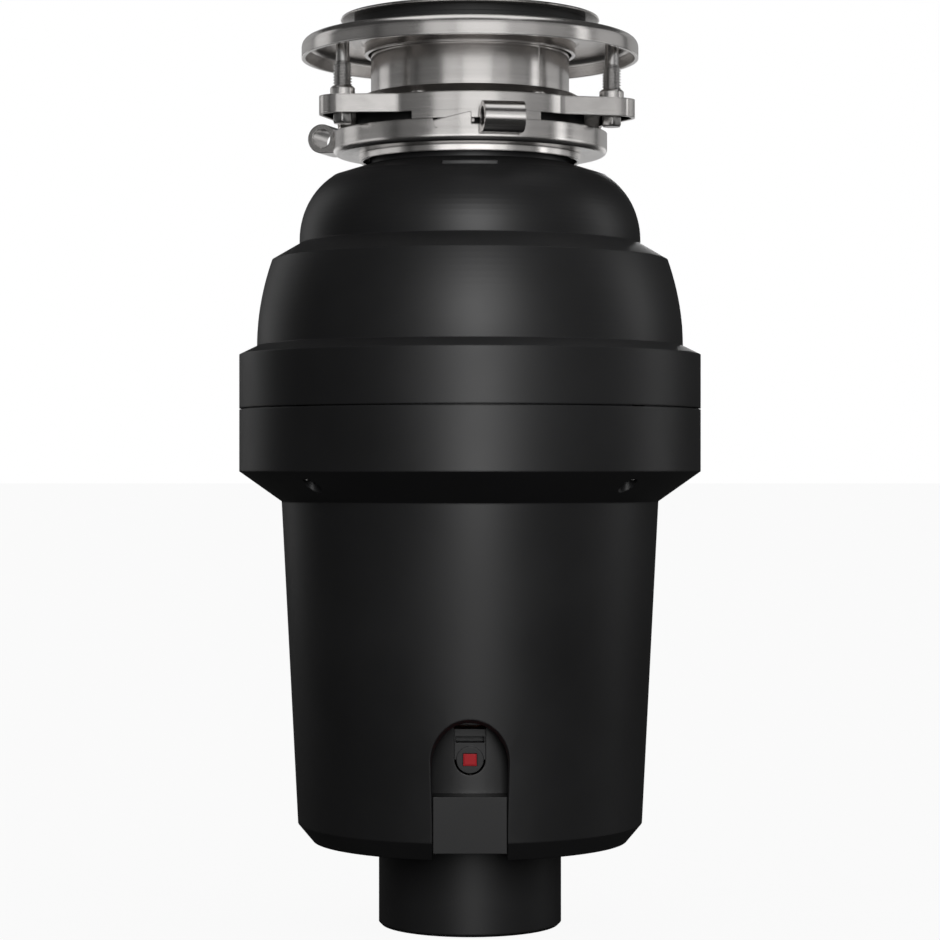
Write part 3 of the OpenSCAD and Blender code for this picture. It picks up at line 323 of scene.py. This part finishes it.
def build_finishes(looks):
    """One material for each slot of the record."""
    # The paler edge colour is a painted highlight along edges, and it is also the colour of the random
    # tone.
    black, edge_sheen_and_tone = tuple(looks.cover_colour), tuple(looks.edge_sheen_and_tone_colour)
    satin = (looks.cover_roughness - 0.03, looks.cover_roughness + 0.04)
    bright, dull = tuple(looks.steel_colour), tuple(v * 0.78 for v in looks.steel_colour)
    polish = (looks.steel_roughness, looks.steel_roughness + 0.09)
    sheet_thickness, wire_thickness = 0.0009, 0.0011
    return {
        "cover_plastic": plastic("satin_black_cover", black, edge_sheen_and_tone, satin, edge=0.0009),
        "recess_plastic": plastic("recess_black", (0.0085, 0.0085, 0.009), edge_sheen_and_tone, (0.4, 0.5),
                                  grain=1400.0, edge=0.0005, specular=0.4),
        "button_red": plastic("reset_red", tuple(looks.button_colour), (0.6, 0.03, 0.04), (0.4, 0.5),
                              grain=1500.0, edge=0.0003, specular=0.2),
        "screw_steel": steel("zinc_screw_steel", (0.62, 0.61, 0.6), (0.42, 0.41, 0.4), (0.15, 0.28),
                             lines=900.0),
        "polished_steel": steel("polished_stainless", bright, dull, polish),
        "cast_aluminium": plastic("cast_aluminium", (0.42, 0.42, 0.43), (0.6, 0.6, 0.6), (0.45, 0.6),
                                  grain=700.0, depth=0.00005),
        "chamber_plastic": plastic("glass_filled_black", (0.026, 0.026, 0.028), edge_sheen_and_tone, (0.38, 0.52),
                                   grain=1100.0),
        "motor_paint": plastic("motor_enamel", (0.0095, 0.0095, 0.01), (0.03, 0.03, 0.03),
                               (0.34, 0.46), grain=500.0),
        "lamination": stacked("stacked_lamination", (0.3, 0.3, 0.31), (0.09, 0.08, 0.08), (0.35, 0.5),
                              sheet_thickness, 0.9, 0.00006),
        "copper_winding": stacked("enamelled_copper", (0.55, 0.22, 0.1), (0.16, 0.05, 0.02),
                                  (0.25, 0.4), wire_thickness, 0.8, 0.0003),
        "black_rubber": plastic("black_rubber", (0.014, 0.014, 0.014), (0.04, 0.04, 0.04),
                                (0.5, 0.65), grain=1600.0, depth=0.00002, specular=0.35),
        "foam": plastic("sound_foam", (0.07, 0.07, 0.075), (0.12, 0.12, 0.12), (0.85, 0.95),
                        grain=420.0, depth=0.0004, specular=0.2),
    }


def dress(obj, material):
    obj.data.materials.clear()
    obj.data.materials.append(material)


# ---------- mesh helpers ----------

SAME_POINT = 1e-7


def add_mesh(name, verts, faces, material, smooth_angle):
    """A cleaned, smooth-shaded object that stays sharp past smooth_angle degrees."""
    mesh = bpy.data.meshes.new(name)
    mesh.from_pydata(verts, [], faces)
    clean = bmesh.new()
    clean.from_mesh(mesh)
    bmesh.ops.remove_doubles(clean, verts=clean.verts, dist=SAME_POINT)
    bmesh.ops.recalc_face_normals(clean, faces=clean.faces)
    clean.to_mesh(mesh)
    clean.free()
    obj = bpy.data.objects.new(name, mesh)
    bpy.context.scene.collection.objects.link(obj)
    mesh.shade_smooth()
    mesh.set_sharp_from_angle(angle=math.radians(smooth_angle))
    dress(obj, material)
    return obj


def rings_to_faces(rings, around):
    """Quads between rings of points that follow each other in a vertex list."""
    faces = []
    for r in range(rings - 1):
        low = r * around
        for k in range(around):
            nxt = (k + 1) % around
            faces.append((low + k, low + nxt, low + around + nxt, low + around + k))
    return faces


def closed_rings(rings):
    """Vertices and faces of a solid made of level rings, with a fan at each end."""
    around = len(rings[0])
    verts = [point for ring in rings for point in ring]
    faces = rings_to_faces(len(rings), around)
    for ring, last in ((rings[0], 0), (rings[-1], (len(rings) - 1) * around)):
        middle = sum((Vector(p) for p in ring), Vector()) / around
        verts.append(tuple(middle))
        hub = len(verts) - 1
        faces += [(hub, last + k, last + (k + 1) % around) for k in range(around)]
    return verts, faces


def join_shapes(shapes):
    """Several (vertices, faces) pairs as one."""
    verts, faces = [], []
    for more_verts, more_faces in shapes:
        base = len(verts)
        verts += more_verts
        faces += [tuple(base + i for i in face) for face in more_faces]
    return verts, faces


# ---------- clamp screws ----------

def circle_point(centre, radius, angle, z):
    return (centre.x + radius * math.cos(angle), centre.y + radius * math.sin(angle), z)


def threaded_rod(centre, r_out, r_in, z_low, z_high, pitch, around=40, per_turn=14):
    """A rod with one real helical thread, flat at crest and root, that fades in and out at its ends."""
    steepness, root_flat = 1.5, 0.2
    rings = []
    count = int((z_high - z_low) / pitch * per_turn)
    for i in range(count + 1):
        z = z_low + (z_high - z_low) * i / count
        fade = min(1.0, i / per_turn, (count - i) / per_turn)
        ring = []
        for k in range(around):
            turn = k / around
            phase = ((z - z_low) / pitch - turn) % 1.0
            crest = max(0.0, min(1.0, steepness * (1.0 - abs(2.0 * phase - 1.0)) - root_flat))
            r = r_in + (r_out - r_in) * crest * fade
            ring.append(circle_point(centre, r, 2.0 * math.pi * turn, z))
        rings.append(ring)
    return closed_rings(rings)


def turned_profile(centre, profile, around=40):
    """A solid of revolution about an upright line, from (radius, height) pairs."""
    angles = [2 * math.pi * k / around for k in range(around)]
    return closed_rings([[circle_point(centre, r, angle, z) for angle in angles] for r, z in profile])


def hex_head(centre, flats, z_low, z_high, chamfer, around=48):
    """A hexagon head whose lower corners are turned off by a chamfer; flats is half its width."""
    rings = []
    face_r, corner_r = flats * 0.93, flats * 1.16
    steps = ((z_low, face_r), (z_low + chamfer, corner_r), (z_high, corner_r))
    for z, limit in steps:
        ring = []
        for k in range(around):
            angle = 2.0 * math.pi * k / around
            local = (angle + math.pi / 6) % (math.pi / 3) - math.pi / 6
            r = min(limit, flats / math.cos(local))
            ring.append(circle_point(centre, r, angle, z))
        rings.append(ring)
    return closed_rings(rings)


def build_clamp_screw(cad_name, body, sizes, material):
    """A clamp screw in the place of its plain CAD node: head, thread and plain tip."""
    low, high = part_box(cad_name)
    centre = Vector(((low.x + high.x) / 2, (low.y + high.y) / 2, 0.0))
    head_r = max(high.x - low.x, high.y - low.y) / 2
    flats = head_r * math.cos(math.pi / 6)
    head_top = low.z + sizes.head_height
    thread_r = sizes.thread_diameter / 2
    root_r = thread_r - 0.00075
    thread_top = high.z - sizes.plain_tip
    tip_r = thread_r - 0.0011
    head_fit, head_chamfer = 0.99, 0.0008
    head_overlap, tip_overlap = 0.0002, 0.0004
    tip_profile = [
        (tip_r, thread_top - tip_overlap), (tip_r, high.z - 0.0008),
        (tip_r - 0.0004, high.z - 0.0002), (tip_r - 0.0010, high.z)]
    verts, faces = join_shapes([
        hex_head(centre, flats * head_fit, low.z, head_top, head_chamfer),
        threaded_rod(centre, thread_r, root_r, head_top - head_overlap, thread_top, sizes.thread_pitch),
        turned_profile(centre, tip_profile),
    ])
    piece = add_mesh(cad_name + "_threaded", verts, faces, material, 40.0)
    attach(piece, body)
    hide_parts(cad_name)
    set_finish(piece, "screw_steel")


# ---------- details on the mount ----------

def clock_point(radius, clock, z):
    """A point at a clock angle in degrees, from the front towards the right."""
    angle = math.radians(clock)
    return Vector((radius * math.sin(angle), -radius * math.cos(angle), z))


def dimple(centre_r, clock, z, radius, rise):
    """A pressed round bump, a flattened half ball that stands up from a ring's top."""
    centre = clock_point(centre_r, clock, 0.0)
    rooted, top_share = 0.0006, 0.04
    angles = [math.radians(d) for d in range(15, 90, 15)]
    profile = [(radius, z - rooted), (radius, z)]
    profile += [(radius * math.cos(a), z + rise * math.sin(a)) for a in angles]
    profile.append((radius * top_share, z + rise))
    return turned_profile(centre, profile, 32)


def ribbon(points, width, thickness, outward):
    """A flat strip along points; width runs along Z and thickness along outward(point)."""
    rings = []
    for point in points:
        out = outward(point) * thickness / 2
        up = Vector((0.0, 0.0, width / 2))
        rings.append([tuple(point + out + up), tuple(point - out + up),
                      tuple(point - out - up), tuple(point + out - up)])
    return closed_rings(rings)


def radial(point):
    return Vector((point.x, point.y, 0.0)).normalized()


def build_ticks(sizes, material):
    """The small pressed tick that marks the locked place beside each twisting bar's ramp."""
    width, thickness = 0.0005, 0.0006
    path = [(-13.9, 0.0), (-14.3, -0.0009), (-14.2, -0.0017), (-13.6, -0.0021), (-13.0, -0.0021)]
    shapes = []
    for third in THIRDS:
        points = [clock_point(sizes.lock_ring_radius, clock + third, sizes.tick_height + z)
                  for clock, z in path]
        shapes.append(ribbon(points, width, thickness, radial))
    verts, faces = join_shapes(shapes)
    piece = add_mesh("lock_ring_ticks", verts, faces, material, 30.0)
    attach(piece, "lock_ring")
    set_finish(piece, STEEL_SLOT)


def build_dimples(sizes, material):
    """The bumps pressed up out of the mounting ring, two in each third of the way round."""
    radius, rise = 0.0034, 0.0016
    shapes = []
    for third in THIRDS:
        for clock in (-24.0, 33.0):
            shapes.append(dimple(sizes.dimple_radius, clock + third, sizes.dimple_height, radius, rise))
    verts, faces = join_shapes(shapes)
    piece = add_mesh("mounting_ring_dimples", verts, faces, material, 60.0)
    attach(piece, "disposer")
    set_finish(piece, STEEL_SLOT)


def build_weld(sizes, material):
    """The closed seam down the sink sleeve, a low bead with ripples."""
    steps, half_angle = 60, 0.9
    ripple_height, ripple_step, rooted = 0.00008, 1.9, 0.0005
    section = ((-1.0, -0.0002), (-0.6, 0.00012), (0.0, 0.0002), (0.6, 0.00012), (1.0, -0.0002))
    r = sizes.sleeve_radius
    z_low, z_high = sizes.weld_low, sizes.weld_high
    rings = []
    for i in range(steps + 1):
        z = z_low + (z_high - z_low) * i / steps
        ripple = ripple_height * math.sin(i * ripple_step)
        ring = []
        for share, lift in section:
            bead_r = r + lift + ripple * (1 - abs(share))
            ring.append(tuple(clock_point(bead_r, sizes.weld_clock + half_angle * share, z)))
        ring.append(tuple(clock_point(r - rooted, sizes.weld_clock, z)))
        rings.append(ring)
    verts, faces = closed_rings(rings)
    piece = add_mesh("sleeve_weld_bead", verts, faces, material, 50.0)
    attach(piece, "disposer")
    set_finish(piece, STEEL_SLOT)


# ---------- studio ----------

# Height of the middle of the lights that stand in a ring, for the metal parts and for the rest.
METAL_LIGHT_MIDDLE, COVER_LIGHT_MIDDLE = 0.55, 0.7
# Each light of a ring: name, clock angle from the front, half angle, height in metres, glow.
METAL_LIGHTS = (
    ("front_left", -21.0, 10.0, 1.3, 0.56),
    ("front", 8.0, 17.0, 1.3, 0.80),
    ("front_right", 37.0, 10.0, 1.3, 0.42),
    ("right_fill", 58.0, 10.0, 1.3, 0.24),
    ("right_strip", 80.0, 5.0, 1.3, 1.1),
    ("right_back", 109.0, 17.0, 1.3, 0.36),
    ("back_right", 150.0, 17.0, 1.3, 0.30),
    ("back_left", -152.0, 18.0, 1.3, 0.30),
    ("left_back", -118.0, 11.0, 1.3, 0.60),
    ("left", -84.0, 17.0, 1.3, 0.08),
    ("left_fill", -48.0, 12.0, 1.3, 0.10),
)
COVER_LIGHTS = (
    ("front", 4.0, 7.5, 1.1, 11.5),
    ("right_back", 100.0, 7.0, 1.2, 2.1),
    ("left_back", -134.0, 7.0, 1.2, 1.2),
    ("back", 176.0, 8.0, 1.1, 6.0),
)
# Each light: name, place, the point that it faces, width, height, glow.
MOUNT_MIDDLE = (0.0, 0.0, 0.38)
EXTRA_METAL_LIGHTS = (
    ("top", (0.0, -0.1, 1.6), (0.0, 0.0, 0.3), 1.3, 1.3, 0.9),
    ("low_front", (0.0, -0.95, 0.02), MOUNT_MIDDLE, 1.6, 0.8, 0.75),
    ("low_back", (0.0, 0.95, 0.02), MOUNT_MIDDLE, 1.6, 0.8, 0.45),
    ("low_right", (0.95, 0.0, 0.02), MOUNT_MIDDLE, 0.6, 0.9, 0.5),
    ("low_left", (-0.95, 0.0, 0.02), MOUNT_MIDDLE, 0.6, 0.9, 0.5),
)


def aim(obj, target):
    obj.rotation_euler = (Vector(target) - obj.location).to_track_quat("-Z", "Y").to_euler()


def soft_light(name, place, target, width, height, glow, lit):
    """A soft box of a given glow that lights only the parts in one collection."""
    data = bpy.data.lights.new(name, "AREA")
    data.shape, data.size, data.size_y = "RECTANGLE", width, height
    data.energy = glow * math.pi * width * height
    obj = bpy.data.objects.new(name, data)
    obj.location = place
    bpy.context.scene.collection.objects.link(obj)
    aim(obj, target)
    obj.light_linking.receiver_collection = lit


def ring_light(name, clock, half_angle, height, glow, lit, middle):
    """A soft box on a circle round the object, as wide as twice the half angle seen from the axis."""
    distance, droop = 1.7, 0.12
    place = clock_point(distance, clock, middle)
    width = 2.0 * distance * math.tan(math.radians(half_angle))
    soft_light(name, place, (0.0, 0.0, middle - droop), width, height, glow, lit)


def parts_of(name, wanted):
    """A collection of the shown parts whose slot is in wanted."""
    made = bpy.data.collections.new(name)
    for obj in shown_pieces():
        if obj.get("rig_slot") in wanted:
            made.objects.link(obj)
    return made


def build_floor():
    """A plain pale floor that carries a faint contact shadow."""
    steps, half_size, drop = 24, 40.0, 0.0004
    marks = [-half_size + 2 * half_size * i / steps for i in range(steps + 1)]
    verts = [(x, y, -drop) for y in marks for x in marks]
    row = steps + 1
    faces = [(j * row + i, j * row + i + 1, (j + 1) * row + i + 1, (j + 1) * row + i)
             for j in range(steps) for i in range(steps)]
    mesh = bpy.data.meshes.new("studio_floor")
    mesh.from_pydata(verts, [], faces)
    obj = bpy.data.objects.new("studio_floor", mesh)
    bpy.context.scene.collection.objects.link(obj)
    material, tree, shader = new_finish("pale_floor")
    shader.inputs["Base Color"].default_value = (0.6, 0.6, 0.6, 1.0)
    shader.inputs["Roughness"].default_value = 1.0
    shader.inputs["Specular IOR Level"].default_value = 0.0
    glow = node(tree, "ShaderNodeEmission", None, Color=WHITE, Strength=0.93)
    both = tree.nodes.new("ShaderNodeAddShader")
    plug(tree, shader.outputs[0], both.inputs[0])
    plug(tree, glow.outputs[0], both.inputs[1])
    seen = tree.nodes.new("ShaderNodeLightPath")
    choice = tree.nodes.new("ShaderNodeMixShader")
    plug(tree, seen.outputs["Is Camera Ray"], choice.inputs[0])
    plug(tree, shader.outputs[0], choice.inputs[1])
    plug(tree, both.outputs[0], choice.inputs[2])
    plug(tree, choice.outputs[0], tree.nodes["Material Output"].inputs["Surface"])
    obj.data.materials.append(material)
    obj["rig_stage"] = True


def build_world(fill):
    """White paper behind the object, which lights it only as much as fill says."""
    world = bpy.data.worlds.new("studio_air")
    bpy.context.scene.world = world
    world.use_nodes = True
    tree = world.node_tree
    ground = tree.nodes["Background"]
    ground.inputs["Color"].default_value = WHITE
    ground.inputs["Strength"].default_value = fill
    paper = tree.nodes.new("ShaderNodeBackground")
    paper.inputs["Color"].default_value = WHITE
    paper.inputs["Strength"].default_value = 1.0
    seen = tree.nodes.new("ShaderNodeLightPath")
    choice = tree.nodes.new("ShaderNodeMixShader")
    plug(tree, seen.outputs["Is Camera Ray"], choice.inputs[0])
    plug(tree, ground.outputs[0], choice.inputs[1])
    plug(tree, paper.outputs[0], choice.inputs[2])
    plug(tree, choice.outputs[0], tree.nodes["World Output"].inputs["Surface"])


# ---------- add-on ----------

class DisposerLooks(bpy.types.PropertyGroup):
    cover_colour: bpy.props.FloatVectorProperty(
        name="Cover colour", description="Colour of the satin plastic covers", subtype="COLOR",
        size=3, min=0.0, max=1.0, default=(0.0105, 0.0105, 0.011))
    # A paler colour painted along edges as a painted highlight, and also used for the random tone of the
    # plastics.
    edge_sheen_and_tone_colour: bpy.props.FloatVectorProperty(
        name="Edge colour", description="Paler tone of plastic along highlighted edges", subtype="COLOR",
        size=3, min=0.0, max=1.0, default=(0.026, 0.026, 0.027))
    cover_roughness: bpy.props.FloatProperty(
        name="Cover roughness", description="How matt the covers are", subtype="FACTOR",
        min=0.1, max=1.0, default=0.46)
    button_colour: bpy.props.FloatVectorProperty(
        name="Button colour", description="Colour of the reset button", subtype="COLOR",
        size=3, min=0.0, max=1.0, default=(0.46, 0.009, 0.016))
    steel_colour: bpy.props.FloatVectorProperty(
        name="Steel colour", description="Tint of the polished steel", subtype="COLOR",
        size=3, min=0.0, max=1.0, default=(0.80, 0.775, 0.755))
    steel_roughness: bpy.props.FloatProperty(
        name="Steel roughness", description="Lowest roughness of the polished steel", subtype="FACTOR",
        min=0.02, max=1.0, default=0.165)


class DisposerSizes(bpy.types.PropertyGroup):
    thread_diameter: bpy.props.FloatProperty(
        name="Thread diameter", description="Outside diameter of the clamp screws' thread",
        subtype="DISTANCE", unit="LENGTH", default=0.008)
    thread_pitch: bpy.props.FloatProperty(
        name="Thread pitch", description="Rise of the clamp screws' thread in one turn",
        subtype="DISTANCE", unit="LENGTH", default=0.00125)
    head_height: bpy.props.FloatProperty(
        name="Head height", description="Height of a clamp screw's hexagon head", subtype="DISTANCE",
        unit="LENGTH", default=0.005)
    plain_tip: bpy.props.FloatProperty(
        name="Plain tip", description="Length of a clamp screw's plain tip", subtype="DISTANCE",
        unit="LENGTH", default=0.014)
    lock_ring_radius: bpy.props.FloatProperty(
        name="Lock ring radius", description="Outside radius of the lock ring's wall", subtype="DISTANCE",
        unit="LENGTH", default=0.0606)
    tick_height: bpy.props.FloatProperty(
        name="Tick height", description="Height of the top of the lock ring's pressed ticks",
        subtype="DISTANCE", unit="LENGTH", default=0.3465)
    dimple_radius: bpy.props.FloatProperty(
        name="Dimple circle radius", description="Distance of the pressed bumps from the axis",
        subtype="DISTANCE", unit="LENGTH", default=0.0525)
    dimple_height: bpy.props.FloatProperty(
        name="Dimple height", description="Height at which the pressed bumps stand", subtype="DISTANCE",
        unit="LENGTH", default=0.3610)
    sleeve_radius: bpy.props.FloatProperty(
        name="Sleeve radius", description="Outside radius of the sink sleeve", subtype="DISTANCE",
        unit="LENGTH", default=0.0438)
    weld_clock: bpy.props.FloatProperty(
        name="Seam direction", description="Clock angle of the sleeve's seam, in degrees from the front",
        default=43.0)
    weld_low: bpy.props.FloatProperty(
        name="Seam bottom", description="Lowest point of the sleeve's seam", subtype="DISTANCE",
        unit="LENGTH", default=0.3665)
    weld_high: bpy.props.FloatProperty(
        name="Seam top", description="Highest point of the sleeve's seam", subtype="DISTANCE",
        unit="LENGTH", default=0.3830)


class DisposerStudio(bpy.types.PropertyGroup):
    camera_distance: bpy.props.FloatProperty(
        name="Camera distance", description="From the camera to the axis", subtype="DISTANCE",
        unit="LENGTH", default=1.217)
    camera_height: bpy.props.FloatProperty(
        name="Camera height", description="Height of the camera above the floor", subtype="DISTANCE",
        unit="LENGTH", default=0.2002)
    camera_lens: bpy.props.FloatProperty(
        name="Lens", description="Focal length in millimetres on a 36 mm sensor", default=105.3)
    fill: bpy.props.FloatProperty(
        name="Fill", description="Strength of the even light from all round", default=0.045)


class DISPOSER_OT_finishes(bpy.types.Operator):
    """Builds the shader groups and finishes, and puts one on each part"""
    bl_idname = "disposer.finishes"
    bl_label = "Finish the parts"

    def execute(self, context):
        build_soft_edges()
        build_moulded_grain()
        build_turned_lines()
        build_stacked_lines()
        made = build_finishes(context.scene.disposer_looks)
        for slot, names in SLOT_OF.items():
            for name in names:
                dress(NODES[name], made[slot])
                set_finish(NODES[name], slot)
        left = sorted(set(NODES) - {name for names in SLOT_OF.values() for name in names})
        if left:
            raise RuntimeError(f"no finish for {left}")
        return {"FINISHED"}


class DISPOSER_OT_clamp_screws(bpy.types.Operator):
    """Cuts real threads on the three clamp screws"""
    bl_idname = "disposer.clamp_screws"
    bl_label = "Clamp screws"

    def execute(self, context):
        material = bpy.data.materials["zinc_screw_steel"]
        for cad_name, body in SCREW_BODIES.items():
            build_clamp_screw(cad_name, body, context.scene.disposer_sizes, material)
        return {"FINISHED"}


class DISPOSER_OT_mount_details(bpy.types.Operator):
    """Adds the pressed bumps, locking ticks and sleeve seam of the sink mount"""
    bl_idname = "disposer.mount_details"
    bl_label = "Mount details"

    def execute(self, context):
        material = bpy.data.materials["polished_stainless"]
        sizes = context.scene.disposer_sizes
        build_ticks(sizes, material)
        build_dimples(sizes, material)
        build_weld(sizes, material)
        return {"FINISHED"}


class DISPOSER_OT_studio(bpy.types.Operator):
    """Sets up the floor, the soft lights and the camera"""
    bl_idname = "disposer.studio"
    bl_label = "Studio"

    def execute(self, context):
        studio = context.scene.disposer_studio
        build_floor()
        build_world(studio.fill)
        metals = parts_of("metal_parts", METAL_SLOTS)
        covers = parts_of("cover_parts", set(SLOT_OF) - METAL_SLOTS)
        for name, clock, half_angle, height, glow in METAL_LIGHTS:
            ring_light("metal_" + name, clock, half_angle, height, glow, metals, METAL_LIGHT_MIDDLE)
        for name, clock, half_angle, height, glow in COVER_LIGHTS:
            ring_light("cover_" + name, clock, half_angle, height, glow, covers, COVER_LIGHT_MIDDLE)
        for name, place, target, width, height, glow in EXTRA_METAL_LIGHTS:
            soft_light("metal_" + name, place, target, width, height, glow, metals)
        soft_light("cover_top", (0.15, 0.1, 1.6), (0.0, 0.0, 0.2), 0.9, 0.9, 1.2, covers)
        data = bpy.data.cameras.new("studio_camera")
        data.lens, data.sensor_width = studio.camera_lens, 36.0
        camera = bpy.data.objects.new("studio_camera", data)
        camera.location = (0.0, -studio.camera_distance, studio.camera_height)
        camera.rotation_euler = (math.pi / 2, 0.0, 0.0)
        context.scene.collection.objects.link(camera)
        context.scene.camera = camera
        context.scene.view_settings.view_transform = "Standard"
        return {"FINISHED"}


OPERATORS = (DISPOSER_OT_finishes, DISPOSER_OT_clamp_screws, DISPOSER_OT_mount_details, DISPOSER_OT_studio)


class DISPOSER_PT_panel(bpy.types.Panel):
    bl_idname = "DISPOSER_PT_panel"
    bl_label = "Garbage disposal"
    bl_space_type = "VIEW_3D"
    bl_region_type = "UI"
    bl_category = "Disposer"

    def draw(self, context):
        scene = context.scene
        for group in (scene.disposer_looks, scene.disposer_sizes, scene.disposer_studio):
            for key in group.bl_rna.properties.keys():
                if key not in ("rna_type", "name"):
                    self.layout.prop(group, key)
        for made in OPERATORS:
            self.layout.operator(made.bl_idname)


CLASSES = (DisposerLooks, DisposerSizes, DisposerStudio, *OPERATORS, DISPOSER_PT_panel)


def register():
    for made in CLASSES:
        bpy.utils.register_class(made)
    bpy.types.Scene.disposer_looks = bpy.props.PointerProperty(type=DisposerLooks)
    bpy.types.Scene.disposer_sizes = bpy.props.PointerProperty(type=DisposerSizes)
    bpy.types.Scene.disposer_studio = bpy.props.PointerProperty(type=DisposerStudio)


def unregister():
    del bpy.types.Scene.disposer_looks
    del bpy.types.Scene.disposer_sizes
    del bpy.types.Scene.disposer_studio
    for made in reversed(CLASSES):
        bpy.utils.unregister_class(made)


def main():
    register()
    bpy.ops.disposer.finishes()
    bpy.ops.disposer.clamp_screws()
    bpy.ops.disposer.mount_details()
    bpy.ops.disposer.studio()


if __name__ == "__main__":
    main()
